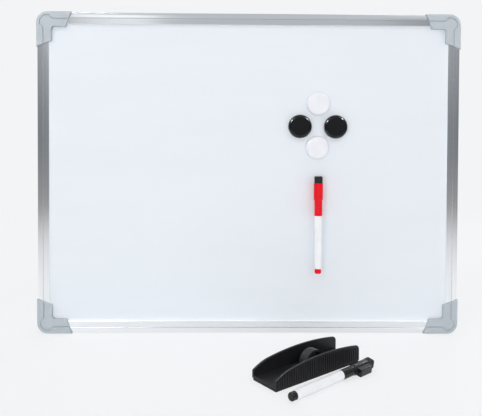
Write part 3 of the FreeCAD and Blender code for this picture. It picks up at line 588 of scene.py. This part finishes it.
def screw_tree():
    """A tree that sets a countersunk screw with a cross in its head on each point."""
    tree, given, out = new_tree("countersunk_screw", SCREW_SIZES)
    size = given.outputs
    head = add(tree, "GeometryNodeMeshCone", [
        ("Vertices", SCREW_SIDES), ("Radius Top", size["Shank radius"]),
        ("Radius Bottom", size["Head radius"]), ("Depth", size["Head depth"]),
    ])
    shank = add(tree, "GeometryNodeMeshCylinder", [
        ("Vertices", SCREW_SIDES), ("Radius", size["Shank radius"]), ("Depth", size["Length"]),
    ])
    half = add(tree, "ShaderNodeMath", [(0, size["Length"]), (1, 0.5)], operation="MULTIPLY")
    lift = add(tree, "ShaderNodeCombineXYZ", [("Z", half.outputs["Value"])])
    shank_up = add(tree, "GeometryNodeTransform", [
        ("Geometry", shank.outputs["Mesh"]), ("Translation", lift.outputs["Vector"]),
    ])
    screw = add(tree, "GeometryNodeMeshBoolean", operation="UNION", solver="EXACT")
    tree.links.new(head.outputs["Mesh"], screw.inputs["Mesh 2"])
    tree.links.new(shank_up.outputs["Geometry"], screw.inputs["Mesh 2"])
    # A bar that cuts a slot is centred on the head's face, so it is twice as high as the slot is deep
    twice_deep = add(tree, "ShaderNodeMath", [(0, size["Slot depth"]), (1, 2.0)], operation="MULTIPLY")
    across = add(tree, "ShaderNodeCombineXYZ", [
        ("X", size["Slot length"]), ("Y", size["Slot width"]), ("Z", twice_deep.outputs["Value"]),
    ])
    upright = add(tree, "ShaderNodeCombineXYZ", [
        ("X", size["Slot width"]), ("Y", size["Slot length"]), ("Z", twice_deep.outputs["Value"]),
    ])
    cut = add(tree, "GeometryNodeMeshBoolean", operation="DIFFERENCE", solver="EXACT")
    tree.links.new(screw.outputs["Mesh"], cut.inputs["Mesh 1"])
    for side in (across, upright):
        bar = add(tree, "GeometryNodeMeshCube", [("Size", side.outputs["Vector"])])
        tree.links.new(bar.outputs["Mesh"], cut.inputs["Mesh 2"])
    faced = add(tree, "GeometryNodeTransform", [
        ("Geometry", cut.outputs["Mesh"]), ("Rotation", (math.radians(90), 0, 0)),
    ])
    set_on = add(tree, "GeometryNodeInstanceOnPoints", [
        ("Points", size["Geometry"]), ("Instance", faced.outputs["Geometry"]),
    ])
    real = add(tree, "GeometryNodeRealizeInstances", [("Geometry", set_on.outputs["Instances"])])
    dressed = add(tree, "GeometryNodeSetMaterial", [
        ("Geometry", real.outputs["Geometry"]), ("Material", steel),
    ])
    tree.links.new(dressed.outputs["Geometry"], out.inputs["Geometry"])
    return tree


holder = bpy.data.objects.new("screw_points", points)
scene.collection.objects.link(holder)
screws = bpy.data.objects.new("rail_screw_set", grow(holder, screw_tree(), SCREW_SIZES))
bpy.data.objects.remove(holder)
stand_for(screws, "rail_screws")
print("screws:", len(screws.data.polygons), "faces")

# %% [markdown]
# Felt pads
#
# The eraser's sole and the pads on the pen caps are cut from dense felt. A felt block has no filling that
# could swell, so there is nothing for a cloth simulation to do. The solid is turned into a fine even mesh,
# its cut edges are softened, its faces get a small unevenness, and Geometry Nodes set loose hairs on it.

# %% Build the hair tree
HAIR_SIZES = ["Hairs per area", "Hair length", "Hair radius", "Lowest root", "Flattest root"]
HAIR_SIDES = 3
ROOT_SEED = 11
LEAN_SEED = 5
GROWTH_SEED = 3
# How far a hair may lean either way and turn about itself, in radians
MOST_LEAN = 0.9
MOST_TURN = 6.28
# The least share of its width and of its length that a hair grows to
THINNEST = 0.7
SHORTEST = 0.4


def hair_tree():
    """A tree that keeps a mesh and sets short loose hairs on it."""
    tree, given, out = new_tree("felt_hairs", HAIR_SIZES)
    size = given.outputs
    place = add(tree, "GeometryNodeInputPosition")
    height = add(tree, "ShaderNodeSeparateXYZ", [("Vector", place.outputs["Position"])])
    clear = add(tree, "FunctionNodeCompare", [
        (0, height.outputs["Z"]), (1, size["Lowest root"]),
    ], data_type="FLOAT", operation="GREATER_THAN")
    facing = add(tree, "GeometryNodeInputNormal")
    slope = add(tree, "ShaderNodeSeparateXYZ", [("Vector", facing.outputs["Normal"])])
    flat = add(tree, "ShaderNodeMath", [(0, slope.outputs["Z"])], operation="ABSOLUTE")
    upright = add(tree, "FunctionNodeCompare", [
        (0, flat.outputs["Value"]), (1, size["Flattest root"]),
    ], data_type="FLOAT", operation="LESS_THAN")
    rooted = add(tree, "FunctionNodeBooleanMath", [
        (0, clear.outputs["Result"]), (1, upright.outputs["Result"]),
    ], operation="AND")
    roots = add(tree, "GeometryNodeDistributePointsOnFaces", [
        ("Mesh", size["Geometry"]), ("Selection", rooted.outputs["Boolean"]),
        ("Density", size["Hairs per area"]), ("Seed", ROOT_SEED),
    ])
    hair = add(tree, "GeometryNodeMeshCone", [
        ("Vertices", HAIR_SIDES), ("Radius Top", 0.0), ("Radius Bottom", size["Hair radius"]),
        ("Depth", size["Hair length"]),
    ], fill_type="NONE")
    lean = add(tree, "FunctionNodeRandomValue", [
        ("Min", (-MOST_LEAN, -MOST_LEAN, 0)), ("Max", (MOST_LEAN, MOST_LEAN, MOST_TURN)), ("Seed", LEAN_SEED),
    ], data_type="FLOAT_VECTOR")
    tilt = add(tree, "FunctionNodeEulerToRotation", [("Euler", lean.outputs["Value"])])
    leaning = add(tree, "FunctionNodeRotateRotation", [
        ("Rotation", roots.outputs["Rotation"]), ("Rotate By", tilt.outputs["Rotation"]),
    ], rotation_space="LOCAL")
    growth = add(tree, "FunctionNodeRandomValue", [
        ("Min", (THINNEST, THINNEST, SHORTEST)), ("Max", (1, 1, 1)), ("Seed", GROWTH_SEED),
    ], data_type="FLOAT_VECTOR")
    hairs = add(tree, "GeometryNodeInstanceOnPoints", [
        ("Points", roots.outputs["Points"]), ("Instance", hair.outputs["Mesh"]),
        ("Rotation", leaning.outputs["Rotation"]), ("Scale", growth.outputs["Value"]),
    ])
    real = add(tree, "GeometryNodeRealizeInstances", [("Geometry", hairs.outputs["Instances"])])
    both = add(tree, "GeometryNodeJoinGeometry")
    tree.links.new(real.outputs["Geometry"], both.inputs["Geometry"])
    tree.links.new(size["Geometry"], both.inputs["Geometry"])
    dressed = add(tree, "GeometryNodeSetMaterial", [
        ("Geometry", both.outputs["Geometry"]), ("Material", finish_of["black_felt"]),
    ])
    tree.links.new(dressed.outputs["Geometry"], out.inputs["Geometry"])
    return tree


felt_hairs = hair_tree()
print("hair tree:", len(felt_hairs.nodes), "nodes")

# %% [markdown]
# Three pads from one recipe
#
# The pads differ in size and in where hairs stand out. On the small pads of the pens they do so all round.
# The sole is pressed flat below and covered above, so only its cut sides are hairy. No hair starts near the
# desk, because it would reach through it.

# %% Make the three felt pads
UNEVEN = 0.12 * MM
UNEVEN_PER_METRE = 420
SOFTEN_SHARE = 0.5
SOFTEN_ROUNDS = 3
PEN_GRID = 0.4 * MM
SOLE_GRID = 0.6 * MM
# A root is judged by the upward part of its normal, which is 1 at most
ANY_ROOT = 2.0
SIDE_ROOT = 0.5


def felt_pad(node, grid, hairs):
    """A softened, uneven block of felt with loose hairs, in the place of the node's solid."""
    block = bpy.data.objects.new(f"{node}_block", joined_mesh(node, f"{node}_block"))
    scene.collection.objects.link(block)
    fine = block.modifiers.new("fine", "REMESH")
    fine.mode = "VOXEL"
    fine.voxel_size = grid
    soft = block.modifiers.new("soft", "SMOOTH")
    soft.factor = SOFTEN_SHARE
    soft.iterations = SOFTEN_ROUNDS
    bpy.context.view_layer.update()
    mesh = bpy.data.meshes.new_from_object(block.evaluated_get(bpy.context.evaluated_depsgraph_get()))
    outward = [vertex.normal.copy() for vertex in mesh.vertices]
    for vertex, normal in zip(mesh.vertices, outward):
        rise = noise.noise(vertex.co * UNEVEN_PER_METRE) * UNEVEN
        vertex.co += normal * (rise - UNEVEN / 2)
        vertex.co.z = max(vertex.co.z, DESK)
    block.modifiers.clear()
    block.data = mesh
    pad = bpy.data.objects.new(f"{node}_fibres", grow(block, felt_hairs, hairs))
    bpy.data.objects.remove(block)
    pad.data.shade_smooth()
    stand_for(pad, node)
    return pad


pen_hairs = {
    "Hairs per area": 2.5e6, "Hair length": 0.7 * MM, "Hair radius": 0.04 * MM,
    "Lowest root": DESK + 0.9 * MM, "Flattest root": ANY_ROOT,
}
sole_hairs = {**pen_hairs, "Hair length": 0.8 * MM, "Flattest root": SIDE_ROOT}
felt_pads = [
    felt_pad("red_marker_pad", PEN_GRID, pen_hairs),
    felt_pad("black_marker_pad", PEN_GRID, pen_hairs),
    felt_pad("eraser_felt", SOLE_GRID, sole_hairs),
]
for pad in felt_pads:
    print(pad.name, len(pad.data.polygons), "faces")

# %% [markdown]
# Studio
#
# The picture has a pale, even ground and very soft shadows, so the world lights the set from all round, and
# where the camera looks past the set it sees a pale colour. Polished metal in an all-white room looks like
# white paint, so reflections see more of a room: grey walls that lighten upwards and are darker to the
# sides.

# %% Set the world's light
PALE = (243, 244, 246)
WORLD_LIGHT = 0.68

scene.view_settings.view_transform = "Standard"
world = bpy.data.worlds.new("studio")
scene.world = world
world.use_nodes = True
sky = world.node_tree


def rays(tree):
    """Two sockets: one where the camera looks, and one where a reflection or refraction does."""
    path = tree.nodes.new("ShaderNodeLightPath")
    mirrored = add(tree, "ShaderNodeMath", [
        (0, path.outputs["Is Glossy Ray"]), (1, path.outputs["Is Transmission Ray"]),
    ], operation="MAXIMUM")
    return path.outputs["Is Camera Ray"], mirrored.outputs["Value"]


direct, mirrored = rays(sky)
even_light = sky.nodes["Background"]
even_light.inputs["Color"].default_value = (1, 1, 1, 1)
even_light.inputs["Strength"].default_value = WORLD_LIGHT
pale_backdrop = add(sky, "ShaderNodeBackground", [("Color", linear(*PALE))])
print("world light", WORLD_LIGHT)

# %% Build the room that reflections see
# The walls' colours, by how far up a reflection looks: 0 is level and 1 is straight up
ROOM = {0.0: (154, 158, 164), 0.04: (144, 148, 154), 0.14: (178, 182, 188), 0.24: (189, 193, 198)}
# The walls darken between these two, by how far sideways a reflection looks, to this share of their light
FRONT_WIDTH = 0.23
SIDE_WIDTH = 0.31
SIDE_SHARE = 0.58
# The darkening ends between these two heights
LOW_PART = 0.22
HIGH_PART = 0.32

direction = sky.nodes.new("ShaderNodeTexCoord")
towards = add(sky, "ShaderNodeSeparateXYZ", [("Vector", direction.outputs["Generated"])])
room_ramp = add(sky, "ShaderNodeValToRGB", [("Fac", towards.outputs["Z"])])
while len(room_ramp.color_ramp.elements) < len(ROOM):
    room_ramp.color_ramp.elements.new(1.0)
for element, (level, colour) in zip(room_ramp.color_ramp.elements, ROOM.items()):
    element.position = level
    element.color = linear(*colour)

sideways = add(sky, "ShaderNodeMath", [(0, towards.outputs["X"])], operation="ABSOLUTE")
dimming = add(sky, "ShaderNodeMapRange", [
    ("Value", sideways.outputs["Value"]), ("From Min", FRONT_WIDTH), ("From Max", SIDE_WIDTH),
    ("To Min", 1.0), ("To Max", SIDE_SHARE),
])
high_up = add(sky, "ShaderNodeMapRange", [
    ("Value", towards.outputs["Z"]), ("From Min", LOW_PART), ("From Max", HIGH_PART),
])
room_strength = add(sky, "ShaderNodeMath", [
    (0, dimming.outputs["Result"]), (1, high_up.outputs["Result"]),
], operation="MAXIMUM")
room = add(sky, "ShaderNodeBackground", [
    ("Color", room_ramp.outputs["Color"]), ("Strength", room_strength.outputs["Value"]),
])
reflected = add(sky, "ShaderNodeMixShader", [
    ("Fac", mirrored), (1, even_light.outputs["Background"]), (2, room.outputs["Background"]),
])
shown = add(sky, "ShaderNodeMixShader", [
    ("Fac", direct), (1, reflected.outputs["Shader"]), (2, pale_backdrop.outputs["Background"]),
])
sky.links.new(shown.outputs["Shader"], sky.nodes["World Output"].inputs["Surface"])
print("world:", len(sky.nodes), "nodes")

# %% [markdown]
# Ground
#
# The desk is a wide sheet of pale paper. Lit paper would show more shade than the picture has, so it glows
# in its own pale colour where the camera looks, and near the set a share of its real shading is mixed in,
# which keeps the soft shadows. Reflections see the paper too, dimmer in the middle, as the rails in the
# picture mirror it, and fading to the grey of the room further off.

# %% Lay the ground
GROUND_SIDE = 12

half = GROUND_SIDE / 2
corners = [(-half, -half, DESK), (half, -half, DESK), (half, half, DESK), (-half, half, DESK)]
ground_mesh = bpy.data.meshes.new("ground")
ground_mesh.from_pydata(corners, [], [(0, 1, 2, 3)])
ground = bpy.data.objects.new("ground", ground_mesh)
scene.collection.objects.link(ground)

paper = new_finish("ground_paper", PALE, 0.9)
ground_mesh.materials.append(paper)
print("ground at", round(DESK, 4))

# %% Give the paper its glow
GLOW_TINT = (252, 253, 255)
# Near the set, this share of the paper's look is its real shading
SHADOW_SHARE = 0.3
# The near look ends between these two distances from the middle of the board
PAPER_NEAR = 0.5
PAPER_FAR = 1.85
# What the camera sees, near and far
NEAR_GLOW = 0.985
FAR_GLOW = 0.92
# What reflections see: a dim middle near the set, full strength beside it, and the room's grey far off
DIM_MIDDLE = 0.08
DIM_REACH = 0.34
DIM_GLOW = 0.77
ROOM_GLOW = 0.277

tree = paper.node_tree
direct, mirrored = rays(tree)
spot = place_texture(tree)
reach = add(tree, "ShaderNodeVectorMath", [(0, spot)], operation="LENGTH")
fade = add(tree, "ShaderNodeMapRange", [
    ("Value", reach.outputs["Value"]), ("From Min", PAPER_NEAR), ("From Max", PAPER_FAR),
]).outputs["Result"]
across = add(tree, "ShaderNodeSeparateXYZ", [("Vector", spot)])
from_middle = add(tree, "ShaderNodeMath", [(0, across.outputs["X"]), (1, DIM_MIDDLE)], operation="SUBTRACT")
off_middle = add(tree, "ShaderNodeMath", [(0, from_middle.outputs["Value"])], operation="ABSOLUTE")
side_glow = add(tree, "ShaderNodeMapRange", [
    ("Value", off_middle.outputs["Value"]), ("From Max", DIM_REACH), ("To Min", DIM_GLOW), ("To Max", 1.0),
])
near_glow = add(tree, "ShaderNodeMapRange", [
    ("Value", mirrored), ("To Min", NEAR_GLOW), ("To Max", side_glow.outputs["Result"]),
])
far_glow = add(tree, "ShaderNodeMapRange", [("Value", mirrored), ("To Min", FAR_GLOW), ("To Max", ROOM_GLOW)])
glow = add(tree, "ShaderNodeMapRange", [
    ("Value", fade), ("To Min", near_glow.outputs["Result"]), ("To Max", far_glow.outputs["Result"]),
])
paper_glow = add(tree, "ShaderNodeEmission", [
    ("Color", linear(*GLOW_TINT)), ("Strength", glow.outputs["Result"]),
])
own_share = add(tree, "ShaderNodeMapRange", [("Value", fade), ("To Min", 1 - SHADOW_SHARE), ("To Max", 1.0)])
seen = add(tree, "ShaderNodeMath", [(0, direct), (1, mirrored)], operation="MAXIMUM")
share = add(tree, "ShaderNodeMath", [
    (0, seen.outputs["Value"]), (1, own_share.outputs["Result"]),
], operation="MULTIPLY")
blend = add(tree, "ShaderNodeMixShader", [
    ("Fac", share.outputs["Value"]), (1, tree.nodes["Principled BSDF"].outputs["BSDF"]),
    (2, paper_glow.outputs["Emission"]),
])
tree.links.new(blend.outputs["Shader"], tree.nodes["Material Output"].inputs["Surface"])
print("paper:", len(tree.nodes), "nodes")

# %% [markdown]
# Lamps
#
# All lamps are rectangles, as a studio's softboxes are, and all point at the middle of the board. Two
# strong ones act on reflections only: they make the small highlights on glossy plastic, and would burn out
# the white face if they lit it. The low fill in front does the opposite: it lights the set, and nothing
# mirrors it.

# %% Hang the lamps
# Each lamp's place, width, height and watts
LAMPS = {
    "window_softbox": ((-0.8, -2.37, 0.93), 0.5, 0.54, 0.5),
    "left_highlight": ((-1.45, -1.35, 1.35), 0.6, 0.3, 42),
    "right_highlight": ((1.53, -1.36, 1.48), 0.6, 0.3, 42),
    "left_softbox": ((-0.95, -1.6, 1.95), 0.3, 0.3, 5),
    "right_softbox": ((1.3, -1.6, 1.95), 0.3, 0.25, 3),
    "back_softbox": ((0.9, 1.8, 1.4), 0.9, 0.9, 10),
    "front_fill": ((-0.2, -1.7, -0.02), 1.4, 0.35, 6.4),
}
MIRRORED_ONLY = ("left_highlight", "right_highlight")
NOT_MIRRORED = ("front_fill",)


def hang_lamp(name, place, width, height, watts):
    """A rectangular lamp that points at the middle of the board and hides from the camera."""
    lamp = bpy.data.lights.new(name, "AREA")
    lamp.shape = "RECTANGLE"
    lamp.size = width
    lamp.size_y = height
    lamp.energy = watts
    holder = bpy.data.objects.new(name, lamp)
    scene.collection.objects.link(holder)
    holder.location = place
    holder.rotation_euler = (-Vector(place)).to_track_quat("-Z", "Y").to_euler()
    holder.visible_camera = False
    holder.visible_diffuse = name not in MIRRORED_ONLY
    holder.visible_glossy = name not in NOT_MIRRORED


for name, settings in LAMPS.items():
    hang_lamp(name, *settings)
